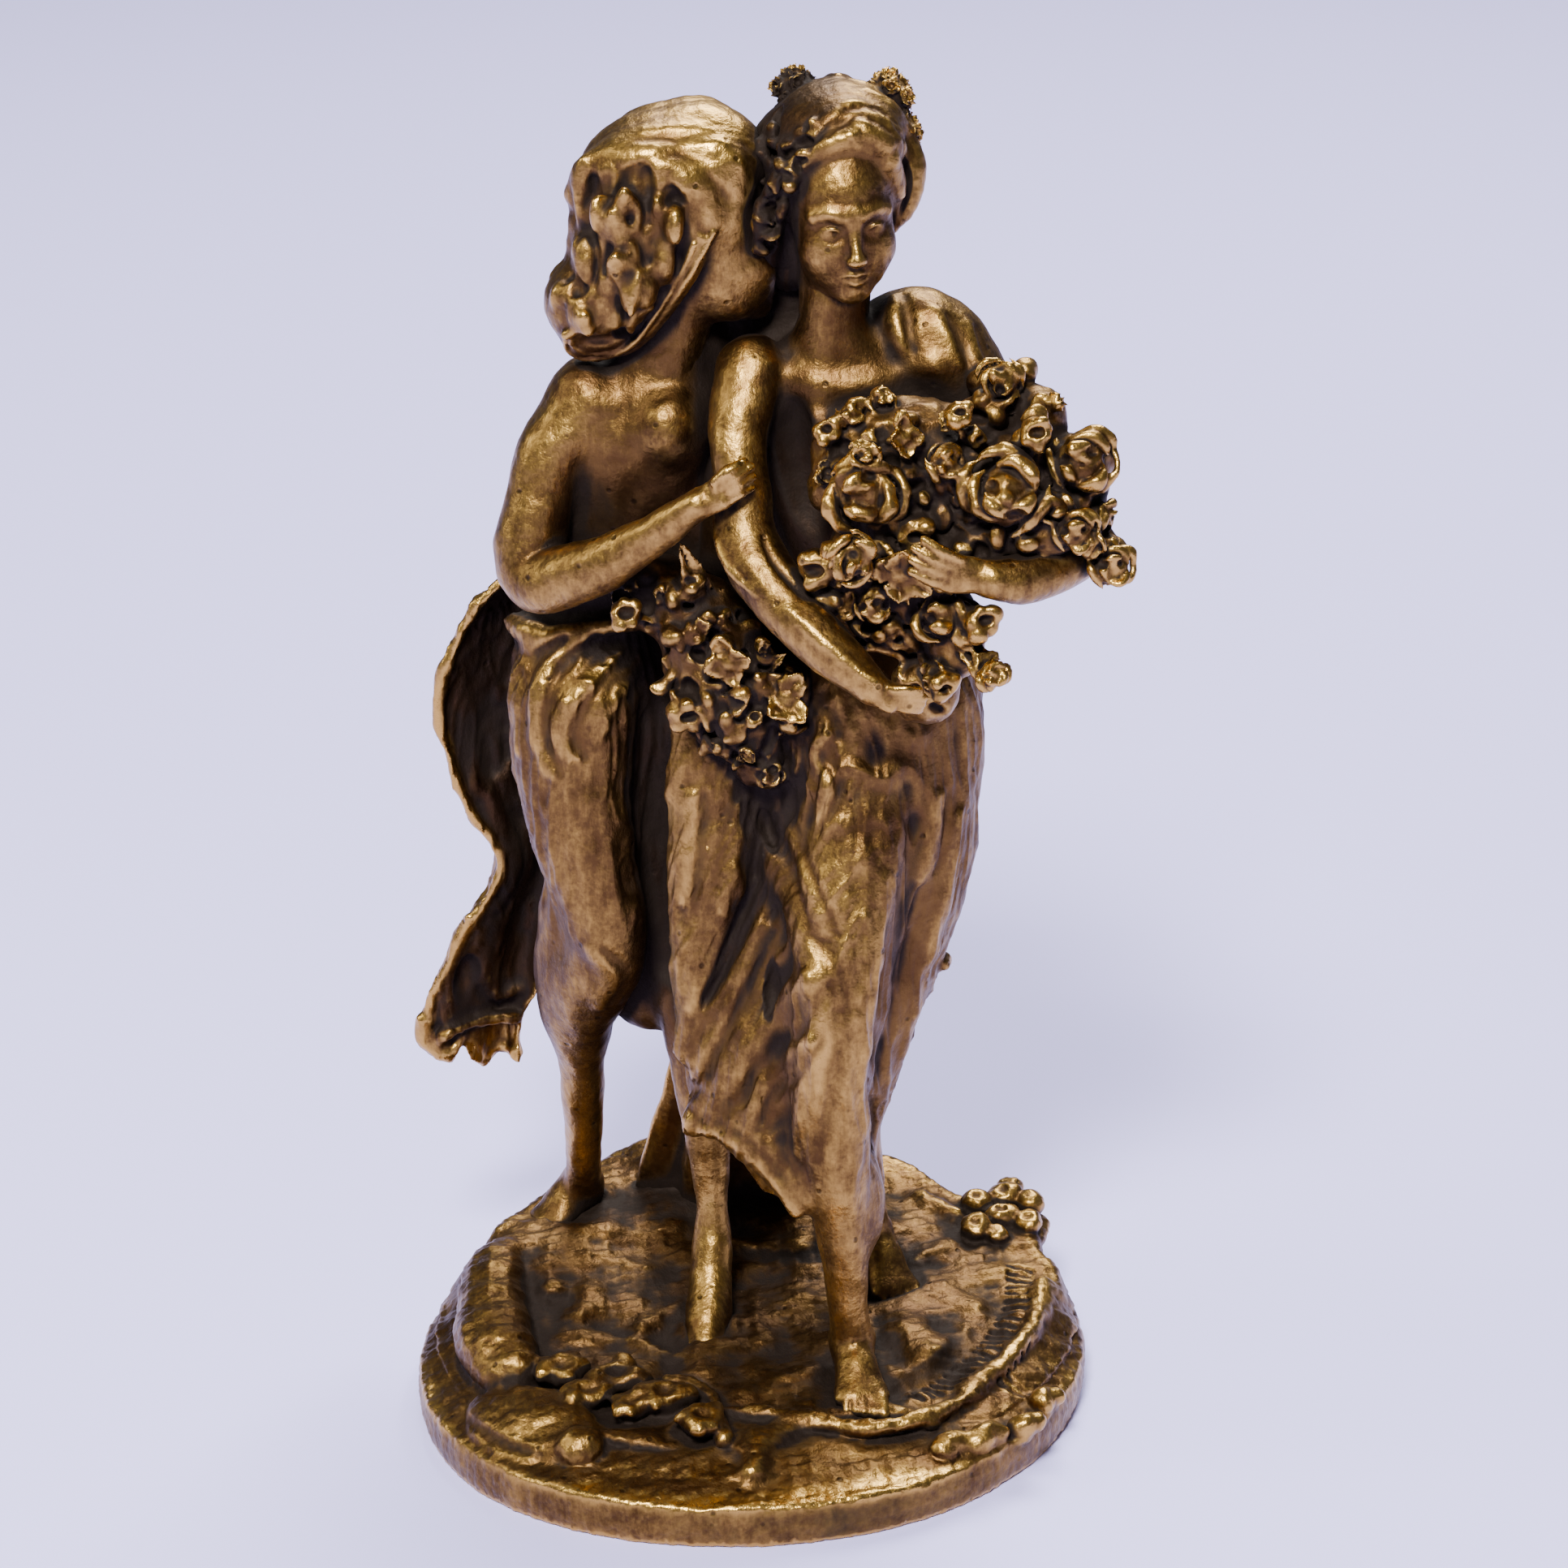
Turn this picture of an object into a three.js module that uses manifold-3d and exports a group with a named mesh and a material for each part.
// A gilt bronze group of two young women walking side by side, cast in one with its round ground.
// The taller one carries an armful of blossoms; her friend leans over and whispers in her ear.
// Millimetres, +Z up. The origin is the middle of the underside, and the group faces -Y.
import * as THREE from "three";
import { mergeVertices } from "three/addons/utils/BufferGeometryUtils.js";
import Module from "manifold-3d";

const wasm = await Module();
wasm.setup();

// Driving sizes of the ground
const PLINTH_RADIUS = 50; // round plinth, before its bulge at the front left
const BAND_HEIGHT = 6.5; // upright band round the plinth
const GROUND_RADIUS = 44; // edge of the modelled earth
const GROUND_MIDDLE = 13; // height of the earth at the centre
const GROUND_RISE = 0.12; // the earth climbs towards the back, mm per mm
const LEVEL_FRONT = -22; // the earth runs level from here to the front

// Driving sizes of the cloth and the flowers
const CLOTH = 2.4; // thickness of the free cloth
const BLOSSOM = 4.6; // radius of a full blossom
const BUD = 2.7; // radius of a small one

const V = (x, y, z) => new THREE.Vector3(x, y, z);
const TAU = 2 * Math.PI;
const bump = (value, middle, spread) => Math.exp(-(((value - middle) / spread) ** 2));
const turnBetween = (a, b) => Math.atan2(Math.sin(a - b), Math.cos(a - b));

// A closed three.js geometry as a solid that can be joined.
function solid(geometry) {
  const bare = new THREE.BufferGeometry();
  bare.setAttribute("position", geometry.getAttribute("position"));
  bare.setIndex(geometry.index);
  const merged = mergeVertices(bare, 1e-4);
  return new wasm.Manifold(
    new wasm.Mesh({
      numProp: 3,
      vertProperties: merged.attributes.position.array,
      triVerts: new Uint32Array(merged.index.array),
    }),
  );
}

// A skin over rings of equal count, closed by a fan at each end. The rings run anticlockwise as seen from the
// last one.
function skin(rings) {
  const count = rings[0].length;
  const middle = (ring) => ring.reduce((sum, p) => sum.add(p), V(0, 0, 0)).divideScalar(count);
  const points = [middle(rings[0]), ...rings.flat(), middle(rings.at(-1))];
  const at = (i, j) => 1 + i * count + (j % count);
  const faces = [];
  for (let j = 0; j < count; j++) {
    faces.push(0, at(0, j + 1), at(0, j));
    faces.push(points.length - 1, at(rings.length - 1, j), at(rings.length - 1, j + 1));
    for (let i = 0; i + 1 < rings.length; i++) {
      faces.push(at(i, j), at(i, j + 1), at(i + 1, j + 1), at(i, j), at(i + 1, j + 1), at(i + 1, j));
    }
  }
  return new THREE.BufferGeometry().setFromPoints(points).setIndex(faces);
}

// Reads a row of numbers as a smooth curve, t from 0 to 1.
function along(values, t) {
  const row = new THREE.CatmullRomCurve3(values.map((v, i) => V(v, i, 0)));
  return row.getPoint(THREE.MathUtils.clamp(t, 0, 1)).x;
}

// A rounded form along a spine. Each station is [x, y, z, half width, half depth]; the width starts out along
// `side` and follows the spine round its bends.
function limb(stations, { sides = 7, steps = stations.length, side } = {}) {
  const spine = new THREE.CatmullRomCurve3(stations.map(([x, y, z]) => V(x, y, z)));
  const widths = stations.map((s) => s[3]);
  const depths = stations.map((s) => s[4] ?? s[3]);
  const start = spine.getTangent(0);
  let across = side ?? (Math.abs(start.x) < 0.8 ? V(1, 0, 0) : V(0, 0, 1));
  const ring = (t, scale, push) => {
    const tangent = spine.getTangent(t);
    across = across.clone().addScaledVector(tangent, -across.dot(tangent)).normalize();
    const deep = tangent.clone().cross(across);
    const width = along(widths, t);
    const depth = along(depths, t);
    const middle = spine.getPoint(t).addScaledVector(tangent, push * Math.min(width, depth));
    return Array.from({ length: sides }, (_, j) => {
      const turn = (TAU * j) / sides;
      const x = width * scale * Math.cos(turn);
      const y = depth * scale * Math.sin(turn);
      return middle.clone().addScaledVector(across, x).addScaledVector(deep, y);
    });
  };
  const rings = [ring(0, 0.55, -0.55)];
  for (let i = 0; i <= steps; i++) rings.push(ring(i / steps, 1, 0));
  rings.push(ring(1, 0.55, 0.55));
  return solid(skin(rings));
}

// An egg-shaped mass, turned by `turn` degrees about Z and tipped by `tip` degrees about its own X.
function mass([x, y, z], [a, b, c], { turn = 0, tip = 0, detail = 8 } = {}) {
  const egg = new THREE.SphereGeometry(1, detail, Math.round(detail * 0.75)).rotateX(Math.PI / 2);
  egg.scale(a, b, c).rotateX(THREE.MathUtils.degToRad(tip)).rotateZ(THREE.MathUtils.degToRad(turn));
  return solid(egg.translate(x, y, z));
}

// A standing form round an upright axis. Each level is [z, centre x, centre y, half width, half depth], from
// the top down. `relief(turn, z)` raises or sinks the surface and `hang(turn)` lets the lower edge down.
function column(levels, { sides, steps, relief, hang = () => 0 }) {
  const at = (k, t) => along(levels.map((level) => level[k]), t);
  const rings = [];
  for (let i = steps; i >= 0; i--) {
    const t = i / steps;
    const z = at(0, t);
    rings.push(
      Array.from({ length: sides }, (_, j) => {
        const turn = (TAU * j) / sides;
        const raised = relief(turn, z);
        const x = at(1, t) + (at(3, t) + raised) * Math.cos(turn);
        const y = at(2, t) + (at(4, t) + raised) * Math.sin(turn);
        return V(x, y, z - t ** 4 * hang(turn));
      }),
    );
  }
  return solid(skin(rings));
}

// One skin drawn over several eggs, each [x, y, z, a, b, c], as seen from a point inside them.
function wrapped([x, y, z], eggs, { around = 14, up = 10 } = {}) {
  const shell = new THREE.SphereGeometry(1, around, up).rotateX(Math.PI / 2);
  const position = shell.getAttribute("position");
  const reach = (way) => {
    let farthest = 0;
    for (const [ex, ey, ez, a, b, c] of eggs) {
      const start = V((x - ex) / a, (y - ey) / b, (z - ez) / c);
      const step = V(way.x / a, way.y / b, way.z / c);
      const half = start.dot(step);
      const root = half * half - step.lengthSq() * (start.lengthSq() - 1);
      if (root > 0) farthest = Math.max(farthest, (Math.sqrt(root) - half) / step.lengthSq());
    }
    return farthest;
  };
  for (let i = 0; i < position.count; i++) {
    const way = V(position.getX(i), position.getY(i), position.getZ(i)).normalize();
    const spot = way.clone().multiplyScalar(reach(way));
    position.setXYZ(i, x + spot.x, y + spot.y, z + spot.z);
  }
  return solid(shell);
}

// A free sheet of cloth of even thickness over point(u, v), with u and v from 0 to 1.
function sheet(point, across, down, thickness = CLOTH) {
  const sample = (u, v) => {
    const step = 0.01;
    const along_u = point(u + step, v).sub(point(u - step, v));
    const along_v = point(u, v + step).sub(point(u, v - step));
    return { at: point(u, v), normal: along_u.cross(along_v).normalize() };
  };
  const rings = [];
  for (let i = 0; i <= down; i++) {
    const front = [];
    const back = [];
    for (let j = 0; j <= across; j++) {
      const { at, normal } = sample(j / across, i / down);
      front.push(at.clone().addScaledVector(normal, thickness / 2));
      back.unshift(at.clone().addScaledVector(normal, -thickness / 2));
    }
    rings.push([...front, ...back]);
  }
  return solid(skin(rings));
}

// A cupped blossom that opens towards `facing`, with `petals` scallops round a raised heart.
function blossom([x, y, z], facing, radius, petals = 5) {
  const profile = [
    [0, -1.1],
    [1, 0.25],
    [0.5, 0],
    [0, 0.35],
  ].map(([r, h]) => new THREE.Vector2(r * radius, h * radius));
  const cup = new THREE.LatheGeometry(profile, 2 * petals).rotateX(Math.PI / 2);
  const position = cup.getAttribute("position");
  for (let i = 0; i < position.count; i++) {
    const turn = Math.atan2(position.getY(i), position.getX(i));
    const scallop = 1 + 0.16 * Math.cos(petals * turn);
    position.setXY(i, position.getX(i) * scallop, position.getY(i) * scallop);
  }
  const aim = new THREE.Quaternion().setFromUnitVectors(V(0, 0, 1), V(...facing).normalize());
  return solid(cup.applyQuaternion(aim).translate(x, y, z));
}

// A pointed leaf from `root` to `tip`, `half` wide, with its flat side towards `facing`.
function leaf(root, tip, half, facing = [0, -1, 0.4]) {
  const reach = V(...tip).sub(V(...root));
  const long = reach.length();
  const outline = new THREE.Shape().moveTo(0, 0);
  outline.lineTo(half, long * 0.45).lineTo(0, long).lineTo(-half, long * 0.45);
  const blade = new THREE.ExtrudeGeometry(outline, { depth: 1.6, bevelEnabled: false }).translate(0, 0, -0.8);
  const up = reach.normalize();
  const across = up.clone().cross(V(...facing)).normalize();
  const place = new THREE.Matrix4().makeBasis(across, up, across.clone().cross(up)).setPosition(V(...root));
  return solid(blade.applyMatrix4(place));
}

const earthAt = (x, y) =>
  GROUND_MIDDLE +
  GROUND_RISE * Math.max(y, LEVEL_FRONT) +
  2.5 * bump(Math.hypot(x + 30, y - 14), 0, 14) +
  4 * bump(Math.hypot(x + 10, y - 34), 0, 15) +
  2 * bump(Math.hypot(x - 12, y - 30), 0, 16);

// The plinth and the earth on it: an upright band, a sloping shoulder and a rolling top.
function ground() {
  const sides = 30;
  const nearLeft = (turn) => bump(turnBetween(turn, -2.35), 0, 0.65);
  const nearRight = (turn) => bump(turnBetween(turn, -0.5), 0, 0.6);
  const plinth = (turn) => PLINTH_RADIUS + 3.8 * nearLeft(turn) - 1.6 * nearRight(turn);
  const wander = (turn) => 1.4 * Math.sin(3 * turn + 1) + Math.sin(7 * turn);
  const atFront = (turn) => bump(turnBetween(turn, -1.35), 0, 0.55);
  const edge = (turn) => GROUND_RADIUS + wander(turn) - 2.4 * nearRight(turn) - 9 * atFront(turn);
  const ring = (radius, height) =>
    Array.from({ length: sides }, (_, j) => {
      const turn = (TAU * j) / sides;
      const x = radius(turn) * Math.cos(turn);
      const y = radius(turn) * Math.sin(turn);
      return V(x, y, height(x, y));
    });
  const rings = [
    ring(plinth, () => 0),
    ring((turn) => plinth(turn) - 0.5, () => BAND_HEIGHT),
    ring((turn) => edge(turn) + 1 + 4 * atFront(turn), (x, y) => earthAt(x, y) - 3.2),
    ring(edge, (x, y) => earthAt(x, y) - 0.8),
  ];
  for (const share of [0.78, 0.45]) {
    const roll = (x, y) => earthAt(x, y) + 0.7 * Math.sin(0.3 * x + 1) * Math.cos(0.33 * y);
    rings.push(ring((turn) => edge(turn) * share, roll));
  }
  return [solid(skin(rings))];
}

// Stones, a fallen leaf that laps over the plinth, a low rim and blossoms dropped on the earth.
function groundDetails() {
  const rimAt = (degrees) => {
    const turn = THREE.MathUtils.degToRad(degrees);
    const x = 40 * Math.cos(turn);
    const y = 33.5 * Math.sin(turn);
    return [x, y, earthAt(x, y) + 0.2, 2, 1.8];
  };
  const log = [
    [-31, 12, 14, 4, 3.4],
    [-38, 1, 13.5, 6, 4.6],
    [-39.5, -11, 12, 7, 5],
    [-34, -23, 10.5, 5.6, 4.4],
  ];
  const lappingLeaf = [
    [-38, -20, 10.4, 5, 2.6],
    [-31, -30, 9.6, 9, 3.2],
    [-24, -39, 8.6, 7, 3.2],
  ];
  const dropped = [
    [-28.6, -19.7, 11.4, 3],
    [-20.2, -21.4, 11.4, 3.2],
    [-13.6, -28.4, 11, 3.3],
    [-8, -34.6, 10.4, 3],
  ];
  const pebbles = [
    [30.2, 19.2],
    [35.5, 21],
    [34.5, 27],
  ];
  return [
    limb(log),
    limb(lappingLeaf, { side: V(1, -0.6, -0.5) }),
    ...dropped.map(([x, y, z, radius]) => blossom([x, y, z], [0.1, -1, 1.1], radius, 3)),
    ...pebbles.map(([x, y]) => mass([x, y, earthAt(x, y) + 0.9], [2.6, 2.4, 2.2], { detail: 5 })),
    limb([-98, -80, -62, -46, -28, -8].map(rimAt), { sides: 5, steps: 3 }),
    limb([[-7, -7, 11, 5.4, 4], [-8, -18, 10, 4.4, 3]], { sides: 6, steps: 1 }), // step under the tiptoe
    limb([[22, -8, 11.6, 4, 2.6], [27, -16, 11, 4, 2.6]], { sides: 6, steps: 1 }),
  ];
}

// A bare foot; its toes spread a little.
const foot = (heel, toes) => {
  const instep = heel.map((value, i) => 0.5 * (value + toes[i]) + (i === 2 ? 1.8 : 0));
  return limb([[...heel, 2.6, 3], [...instep, 2.9, 3], [...toes, 3.5, 1.7]], { steps: 2, side: V(1, 0, 0) });
};

// The girl who carries the flowers, from the hem of her clinging dress to the top of her neck.
function bearerBody() {
  const levels = [
    [173, 12.3, -8, 4.6, 5],
    [166, 12, -7, 4.6, 4.8],
    [161.5, 12.4, -6, 9, 5.6],
    [157, 13, -5.6, 14, 7.6],
    [150, 13.6, -6.4, 13.6, 9.4],
    [140, 14, -5.8, 11.6, 9],
    [129, 14.5, -5, 9.8, 8.2],
    [118, 16.4, -5, 14.6, 11.4],
    [107, 16.4, -5.5, 16.3, 13.2],
    [95, 15.2, -6, 16.6, 14.2],
    [83, 12.6, -7, 17.6, 15],
    [70, 8.8, -8, 17.4, 15.6],
    [58, 6, -8.6, 16.4, 15.6],
    [47, 4.4, -9, 14.2, 14.6],
  ];
  const front = -Math.PI / 2;
  const relief = (turn, z) => {
    const from = (direction) => turnBetween(turn, direction);
    const below = THREE.MathUtils.smoothstep(118 - z, 0, 30);
    const bosom = 2.4 * bump(z, 149, 5) * bump(Math.abs(from(front)), 0.5, 0.32);
    const leadingLeg = 5.8 * bump(z, 64, 21) * bump(from(front + 0.0045 * (90 - z)), 0, 0.42);
    const betweenLegs = -3 * bump(z, 78, 24) * bump(from(front + 0.72), 0, 0.26);
    const folds = Math.sin(9 * turn + 0.05 * z) * below * (0.5 + 1.5 * bump(from(front - 1), 0, 0.7));
    return bosom + leadingLeg + betweenLegs + folds;
  };
  const hang = (turn) => 12 * bump(turnBetween(turn, 1.9), 0, 0.8);
  return [column(levels, { sides: 22, steps: 13, relief, hang })];
}

// Her puffed sleeve, the edge of her neckline, her arms round the flowers, her bare shins and feet.
function bearerLimbs() {
  const sleeve = [
    [15.4, -3.5, 161, 5.4],
    [23, -4, 162.6, 7.4],
    [29.4, -6, 156, 6.2],
  ];
  const neckline = [
    [1, -10.6, 160, 1.8],
    [14, -13.2, 157.4, 1.7],
    [25, -9, 161, 2],
  ];
  const rightArm = [
    [-0.5, -9, 158.5, 5],
    [-2.2, -13.5, 152, 4.2],
    [-1.7, -17, 145.5, 3.8],
    [-1.4, -19.5, 138.5, 4.2],
    [3, -24.5, 133.5, 4.3],
    [11, -29.5, 128.5, 4],
    [18.5, -32.5, 122.5, 2.9],
    [24.5, -33, 120.5, 3.4, 2],
  ];
  const leftArm = [
    [27, -5, 155, 5.2],
    [37, -10, 147.4, 4.9],
    [43.6, -17, 139.5, 4.6],
    [41, -24, 137.5, 4.2],
    [33.5, -30.4, 137.2, 3],
    [26.4, -33.4, 139.2, 3.3, 2],
    [21, -35, 142, 2.6, 1.5],
  ];
  const rightShin = [
    [9.4, -21.6, 54, 5.4],
    [11, -21, 42, 4.6],
    [12.5, -19.8, 28, 3.2],
    [13.4, -18, 15, 2.9],
  ];
  const leftShin = [
    [18, 1, 56, 5.2],
    [15.2, 5, 43, 4.6],
    [16.6, 10, 20, 2.9],
  ];
  return [
    limb(sleeve, { steps: 3 }),
    limb(neckline, { sides: 4, steps: 2 }),
    limb(rightArm, { steps: 8 }),
    limb(leftArm),
    limb(rightShin, { steps: 5 }),
    foot([13.4, -17, 13], [15.2, -29, 11]),
    limb(leftShin),
    foot([16.8, 11, 17.6], [21.5, 1.5, 13.8]),
  ];
}

// A plain young face under loose waved hair, coiled at the nape and dressed with two sprays of flowers.
function bearerHead() {
  const [x, y, z] = [12.4, -8.5, 183.6];
  const eggs = [
    [x, y + 1.4, z + 2, 8.2, 9.8, 11.4], // skull and hair
    [x - 0.6, y - 3.6, z - 4.6, 6, 6, 8.8], // face
    [x - 0.8, y - 7.4, z - 11.2, 2.4, 2, 1.9], // chin
    [x - 6.4, y - 2.6, z + 6, 4.6, 5.4, 5.4],
    [x - 8.6, y + 0.6, z - 3, 4.6, 6, 7],
    [x + 7, y - 1, z + 4.6, 3.4, 5.4, 6],
    [x + 1, y + 9.4, z - 2, 8.5, 5.4, 7.4],
  ];
  const sprays = [
    [[x - 6, y + 1.5, z + 9, 2.2], [x - 6.4, y + 1.5, z + 15, 3.2]],
    [[x + 8, y + 1.5, z + 7, 2.6], [x + 6.4, y + 1, z + 15, 3]],
  ];
  const nose = [
    [x - 0.4, y - 8.4, z - 0.4, 0.9],
    [x - 0.2, y - 10.4, z - 4.4, 1.3, 1],
  ];
  return [
    wrapped([x, y, z], eggs, { around: 16, up: 12 }),
    limb(nose, { sides: 5, steps: 1 }),
    ...sprays.map((spray) => limb(spray, { sides: 6, steps: 1 })),
    blossom([x - 6.6, y - 0.4, z + 15.2], [-0.3, -0.8, 1], BUD - 0.4, 3),
    blossom([x + 6.8, y - 0.4, z + 15.4], [0.5, -0.8, 1], BUD - 0.4, 3),
  ];
}

// The girl who whispers, from the hem above her knee to the top of her neck. She is bare to the hips.
function whispererBody() {
  const levels = [
    [172, -9.2, -2.6, 4.8, 5.2],
    [164, -11.4, -2, 4.9, 5],
    [158.5, -13.6, -0.6, 8, 6],
    [153.5, -15.6, 0.2, 11.4, 8],
    [146, -17.6, 0.6, 11.6, 9.2],
    [136, -19.6, 2.6, 10.4, 8.8],
    [125, -21.5, 5.6, 9.6, 8.2],
    [115, -22.4, 6.4, 12.2, 10.2],
    [105, -22.2, 6, 12.4, 11.2],
    [94, -20.4, 5.4, 12.8, 11.8],
    [82, -17.6, 5.8, 12, 11],
    [70, -15.2, 7, 10.4, 9.6],
    [57.5, -13.6, 8.6, 7.6, 7.4],
  ];
  const relief = (turn, z) => {
    const from = (direction) => turnBetween(turn, direction);
    const below = THREE.MathUtils.smoothstep(122 - z, 0, 12);
    const bosom = 3.2 * bump(z, 148.5, 5.5) * bump(from(-0.85), 0, 0.4);
    const leadingLeg = 4 * bump(z, 86, 15) * bump(from(-2), 0, 0.5);
    const betweenLegs = -3 * bump(z, 82, 22) * bump(from(-1.15), 0, 0.28);
    const folds = Math.sin(8 * turn + 0.09 * z) * below * 0.8;
    return bosom + leadingLeg + betweenLegs + folds;
  };
  return [column(levels, { sides: 18, steps: 12, relief })];
}

// Her right hand holds her friend's arm, her left goes round her back; her bare legs and feet.
function whispererLimbs() {
  const rightArm = [
    [-23, -1.5, 153.5, 6.2],
    [-29, -4, 144, 5.2],
    [-31.4, -7, 130.5, 4.8],
    [-24, -13.5, 132.5, 4.4],
    [-14.7, -18, 139, 3.1],
    [-8, -21, 144.5, 2.9],
    [-4.4, -21.6, 147.5, 3.2, 2.6],
  ];
  const leftArm = [
    [-7, 6, 154, 4.8],
    [4, 8, 152, 4.2],
    [14, 5, 152, 3.8],
  ];
  const rightShin = [
    [-22.4, -1.4, 75, 5.8],
    [-24.2, 3, 63, 5],
    [-26.4, 9, 50, 4],
    [-26.9, 17, 35, 2.9],
    [-27.2, 23.5, 20, 2.7],
  ];
  const leftLeg = [
    [-10, 3, 68, 5.6],
    [-8.4, 2.5, 48, 4.8],
    [-7, 1.5, 31, 2.5],
    [-6.9, -0.5, 22.5, 2.9],
    [-7.4, -5.5, 14, 3.4, 2.6],
  ];
  return [
    limb(rightArm, { steps: 8 }),
    limb(leftArm, { sides: 6, steps: 2 }),
    limb(rightShin),
    foot([-26.8, 25, 18.6], [-33.5, 18.5, 15.8]),
    limb(leftLeg, { steps: 6 }),
  ];
}

// Her head in lost profile: a plain cheek and chin, hair swept back in rolls and pinned up with roses.
function whispererHead() {
  const [x, y, z] = [-11.6, -3.4, 182];
  const eggs = [
    [x, y, z + 1.6, 12.2, 9.6, 12], // skull and hair
    [x + 7.6, y + 2, z - 6, 7, 6.4, 8.2], // cheek and jaw
    [x + 12.6, y + 3, z - 12.6, 2.6, 2.4, 2.2], // chin
    [x + 9, y - 4, z + 3, 4.4, 4.8, 7.4],
    [x + 1, y - 2.6, z + 9, 9, 6.4, 6.6],
    [x - 10, y - 1, z - 14.6, 6.6, 7, 6],
  ];
  const band = [
    [x + 10, y - 6, z - 1, 3],
    [x + 5, y - 8.2, z - 6, 2.6],
    [x - 3, y - 7.6, z - 12.6, 2.6],
    [x - 9, y - 5, z - 18, 2.8],
  ];
  const nose = [
    [x + 13.2, y + 3, z - 2.4, 1],
    [x + 15, y + 3.4, z - 6, 1.3],
  ];
  return [
    wrapped([x, y, z - 2], eggs, { around: 16, up: 12 }),
    limb(nose, { sides: 5, steps: 1 }),
    limb(band),
    blossom([x - 8.4, y - 8.2, z + 4], [-0.4, -1, 0.2], BUD + 0.8),
    blossom([x - 1.6, y - 9.2, z + 3], [0, -1, 0.2], BUD + 0.4, 4),
    blossom([x - 5.6, y - 9, z - 4.4], [-0.2, -1, 0], BUD + 0.2, 4),
    blossom([x - 13.2, y - 5.6, z - 12.6], [-0.7, -1, -0.1], BUD + 0.8, 4),
  ];
}

// The cloth that joins the two girls from neck to hip, the folds that fall between them, and the train behind
// them that reaches the earth.
function fallingCloth() {
  const between = [
    [-2, 4.4, 171, 3.2],
    [1, 5, 161, 5.2],
    [0, 1.6, 146, 6],
    [0.4, 1, 132, 6.6],
    [-2, 0, 114, 7.6],
  ];
  const cascade = [
    [-5, -11, 112, 6, 3.4],
    [-6, -13, 98, 5.8, 4],
    [-7.4, -12.4, 84, 5, 3.6],
    [-9, -10.6, 64, 2.4, 2.4],
  ];
  const train = [
    [98, 6, 2, 15, 8],
    [80, 4, 9, 13.5, 7.6],
    [60, 1.5, 17, 11, 6.4],
    [38, -0.5, 25.5, 9.6, 5.4],
    [22, -2, 31, 11, 5.4],
    [13, -3, 34, 14, 6.4],
  ];
  const pleats = (turn, z) => 1.3 * Math.sin(6 * turn + 0.03 * z);
  return [
    limb(between, { sides: 5, steps: 3 }),
    limb(cascade, { steps: 4 }),
    column(train, { sides: 16, steps: 5, relief: pleats }),
  ];
}

// The cloak that flies out behind the whispering girl, waving in and out down its free edge.
function cloak() {
  const free = [-36.5, -43.5, -46.6, -47.4, -46.4, -43.6, -41.6, -42.6, -46.5, -49.6, -50.4, -52.4];
  const point = (u, v) => {
    const edge = along(free, v);
    const held = -26 - 9.5 * v * v;
    const x = edge + (held - edge) * u;
    const y = 9 + 11 * v + 6.5 * Math.sin(Math.PI * (0.1 + 0.75 * u)) + 2.6 * v * Math.sin(TAU * 1.4 * u + 2);
    const z = 124.5 - 83 * v + 2.8 * v * v * Math.sin(TAU * 1.6 * u) + 5 * u * v;
    return V(x, y, z);
  };
  const rolled = Array.from({ length: 7 }, (_, i) => {
    const { x, y, z } = point(0, 0.04 + 0.155 * i);
    return [x, y - 0.6, z, 1.7];
  });
  return [sheet(point, 7, 10), limb(rolled, { sides: 5, steps: 7 })];
}

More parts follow.
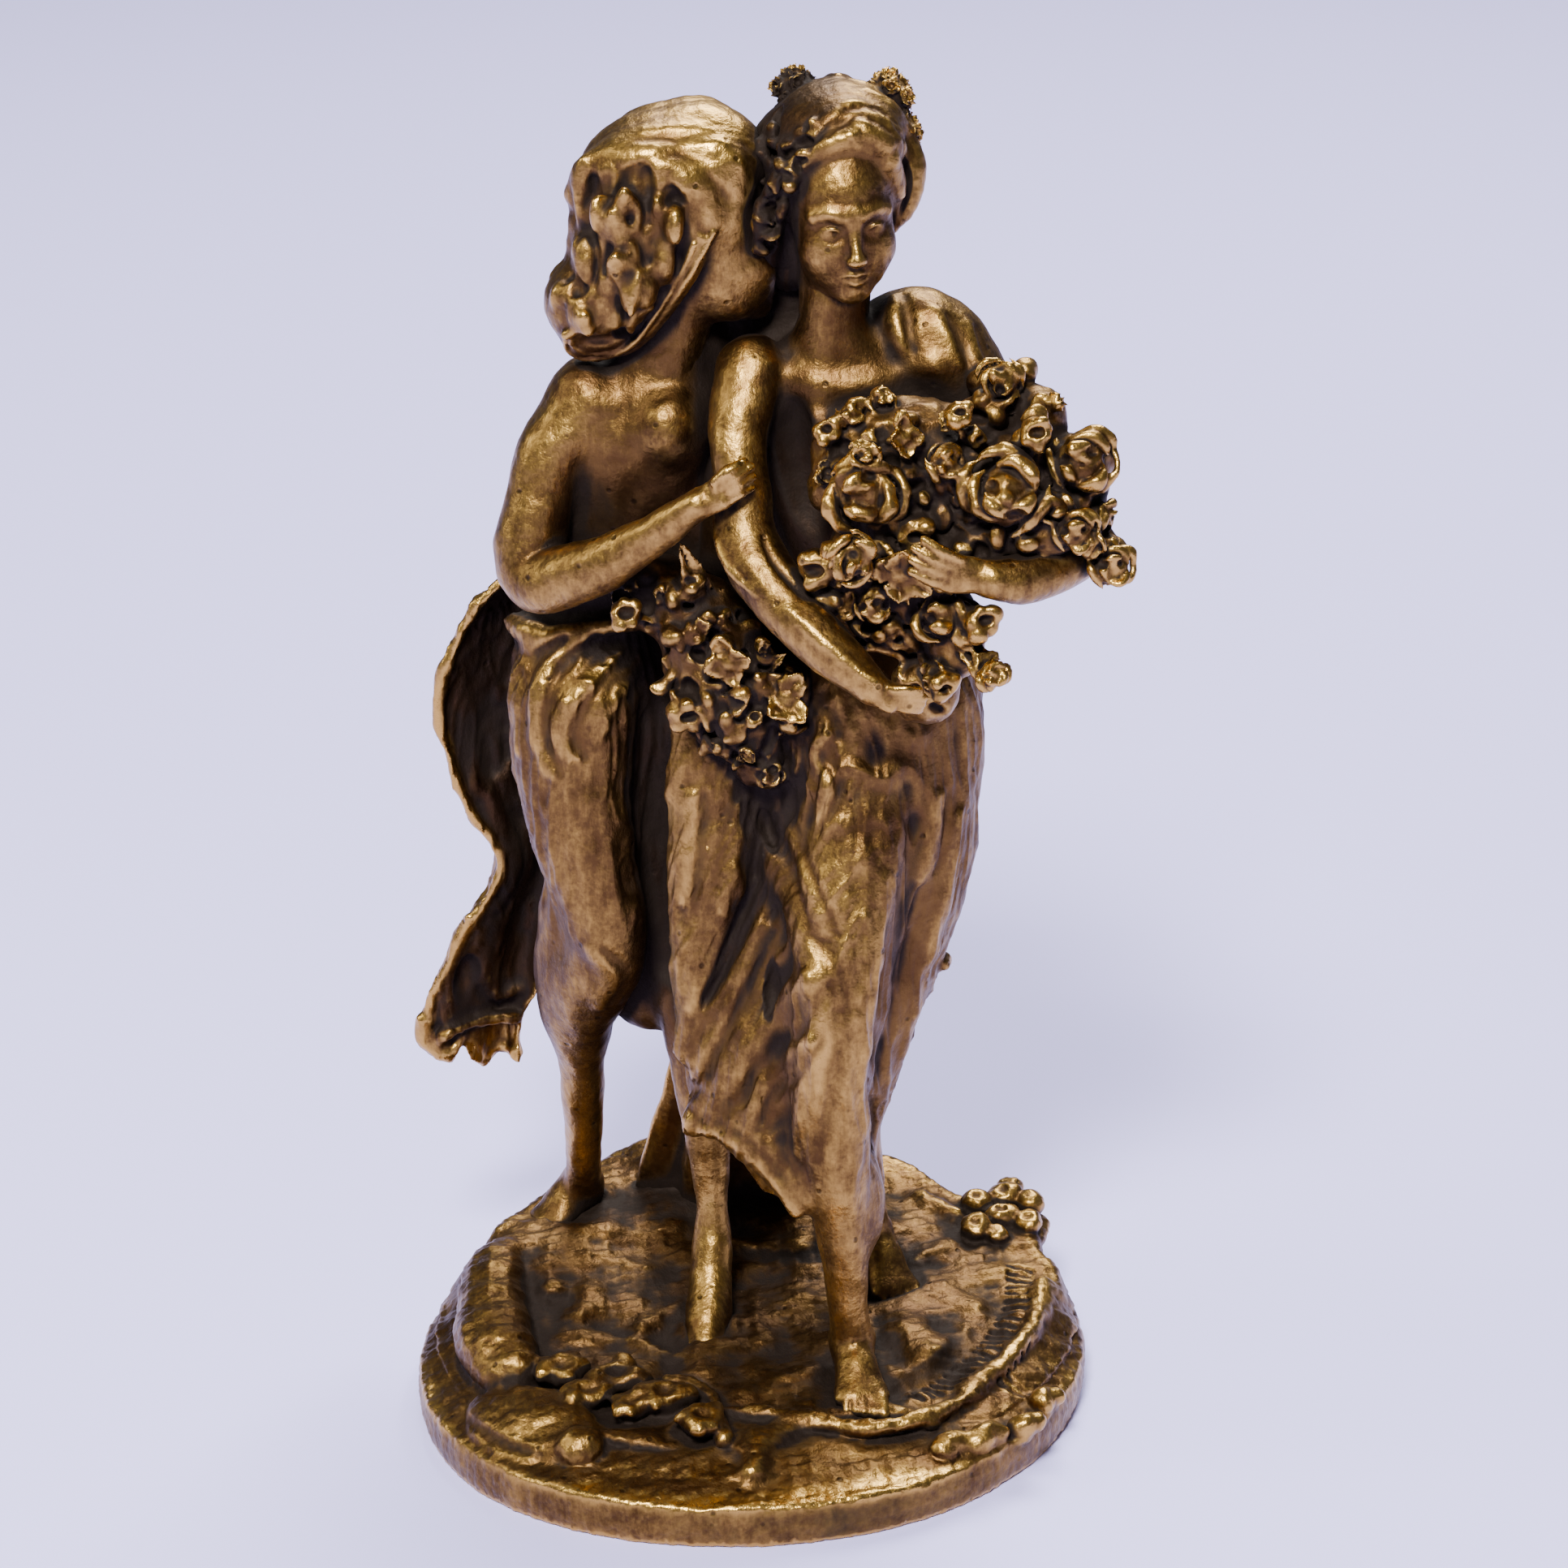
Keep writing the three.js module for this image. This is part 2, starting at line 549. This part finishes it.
// The armful of flowers, heaped between her forearms. Each bloom is [x, y, z, facing x, y, z].
function bouquet() {
  const heap = [
    [23, -23, 147, 15, 10, 9.5],
    [20, -25, 134, 12, 8, 10],
    [37, -22, 146, 11, 9, 8.5],
  ];
  const full = [
    [14, -33.5, 148.5, -0.4, -1, 0.1],
    [24, -34, 146, 0, -1, 0],
    [34.5, -33.5, 149, 0.2, -1, 0.2],
    [45, -27, 150.5, 0.8, -0.8, 0.4],
    [32, -25, 157, 0.1, -0.6, 1],
    [27.5, -34, 130.5, 0.3, -1, 0.2],
    [21, -30.5, 155, -0.1, -0.8, 0.8],
    [42.5, -29, 143, 0.6, -1, -0.2],
  ];
  const small = [
    [49.6, -22.6, 139, 1, -0.5, -0.1],
    [11, -29, 139, -0.4, -1, 0],
    [12, -31.5, 133, -0.3, -1, -0.3],
    [13.5, -26.5, 153.5, -0.4, -1, 0.6],
    [30, -26, 121.5, 0.8, -1, 0],
  ];
  const under = full.map(([x, y, z, a, b, c]) => {
    const centre = V(a, b, c).setLength(-3.4).add(V(x, y, z));
    return [...centre, 4.6, 4.6, 4.6];
  });
  const stems = [
    [25, -24, 131, 4],
    [30, -20, 121, 4.4],
    [31, -12, 112, 3],
  ];
  const tip = [
    [43, -19, 140, 3],
    [49.4, -22.4, 139, 2],
  ];
  return [
    wrapped([26, -22, 143], [...heap, ...under], { around: 13, up: 9 }),
    ...full.map(([x, y, z, ...facing]) => blossom([x, y, z], facing, BLOSSOM - 0.4, 4)),
    ...small.map(([x, y, z, ...facing]) => blossom([x, y, z], facing, BUD + 0.3, 3)),
    limb(stems, { sides: 6, steps: 2 }),
    limb(tip, { sides: 5, steps: 1 }),
  ];
}

// The garland that falls from the whispering girl's forearm to her friend's hip.
function garland() {
  const spill = [
    [-15, -9, 130, 7, 6],
    [-6, -12, 124, 10.5, 7],
    [-3, -14, 113, 9, 6.4],
    [1, -15, 104, 5, 5],
  ];
  const blooms = [
    [-17.5, -15, 129.5, -0.4, -1, 0.4, BUD + 0.2],
    [-3.4, -19.5, 125, 0, -1, 0.3, BUD + 1],
    [-9, -19.5, 118.5, -0.3, -1, 0.1, BUD + 0.8],
    [-8.6, -19.5, 111, -0.2, -1, -0.4, BUD + 0.8],
    [4, -20, 117.5, 0.1, -1, 0, BUD + 0.8],
  ];
  return [
    limb(spill),
    ...blooms.map(([x, y, z, a, b, c, radius]) => blossom([x, y, z], [a, b, c], radius, 4)),
    leaf([-8, -15, 127], [-10.4, -17.5, 137], 2.4),
    leaf([-13, -14.6, 124], [-14.6, -16.6, 113.5], 2.4),
  ];
}

const joined = wasm.Manifold.union([
  ...ground(),
  ...groundDetails(),
  ...bearerBody(),
  ...bearerLimbs(),
  ...bearerHead(),
  ...whispererBody(),
  ...whispererLimbs(),
  ...whispererHead(),
  ...fallingCloth(),
  ...cloak(),
  ...bouquet(),
  ...garland(),
]);

// A joined solid as a three.js geometry.
function geometryOf(body) {
  const mesh = body.getMesh();
  const positions = new Float32Array(mesh.numVert * 3);
  for (let i = 0; i < mesh.numVert; i++) {
    positions.set(mesh.vertProperties.subarray(i * mesh.numProp, i * mesh.numProp + 3), i * 3);
  }
  const geometry = new THREE.BufferGeometry();
  geometry.setAttribute("position", new THREE.BufferAttribute(positions, 3));
  geometry.setIndex(new THREE.BufferAttribute(new Uint32Array(mesh.triVerts), 1));
  return geometry;
}

const giltBronze = new THREE.MeshStandardMaterial({ color: 0xa07a3a, roughness: 0.38, metalness: 1 });
const figures = new THREE.Mesh(geometryOf(joined), giltBronze);
figures.name = "figure_group";

const group = new THREE.Group();
group.add(figures);
export default group;
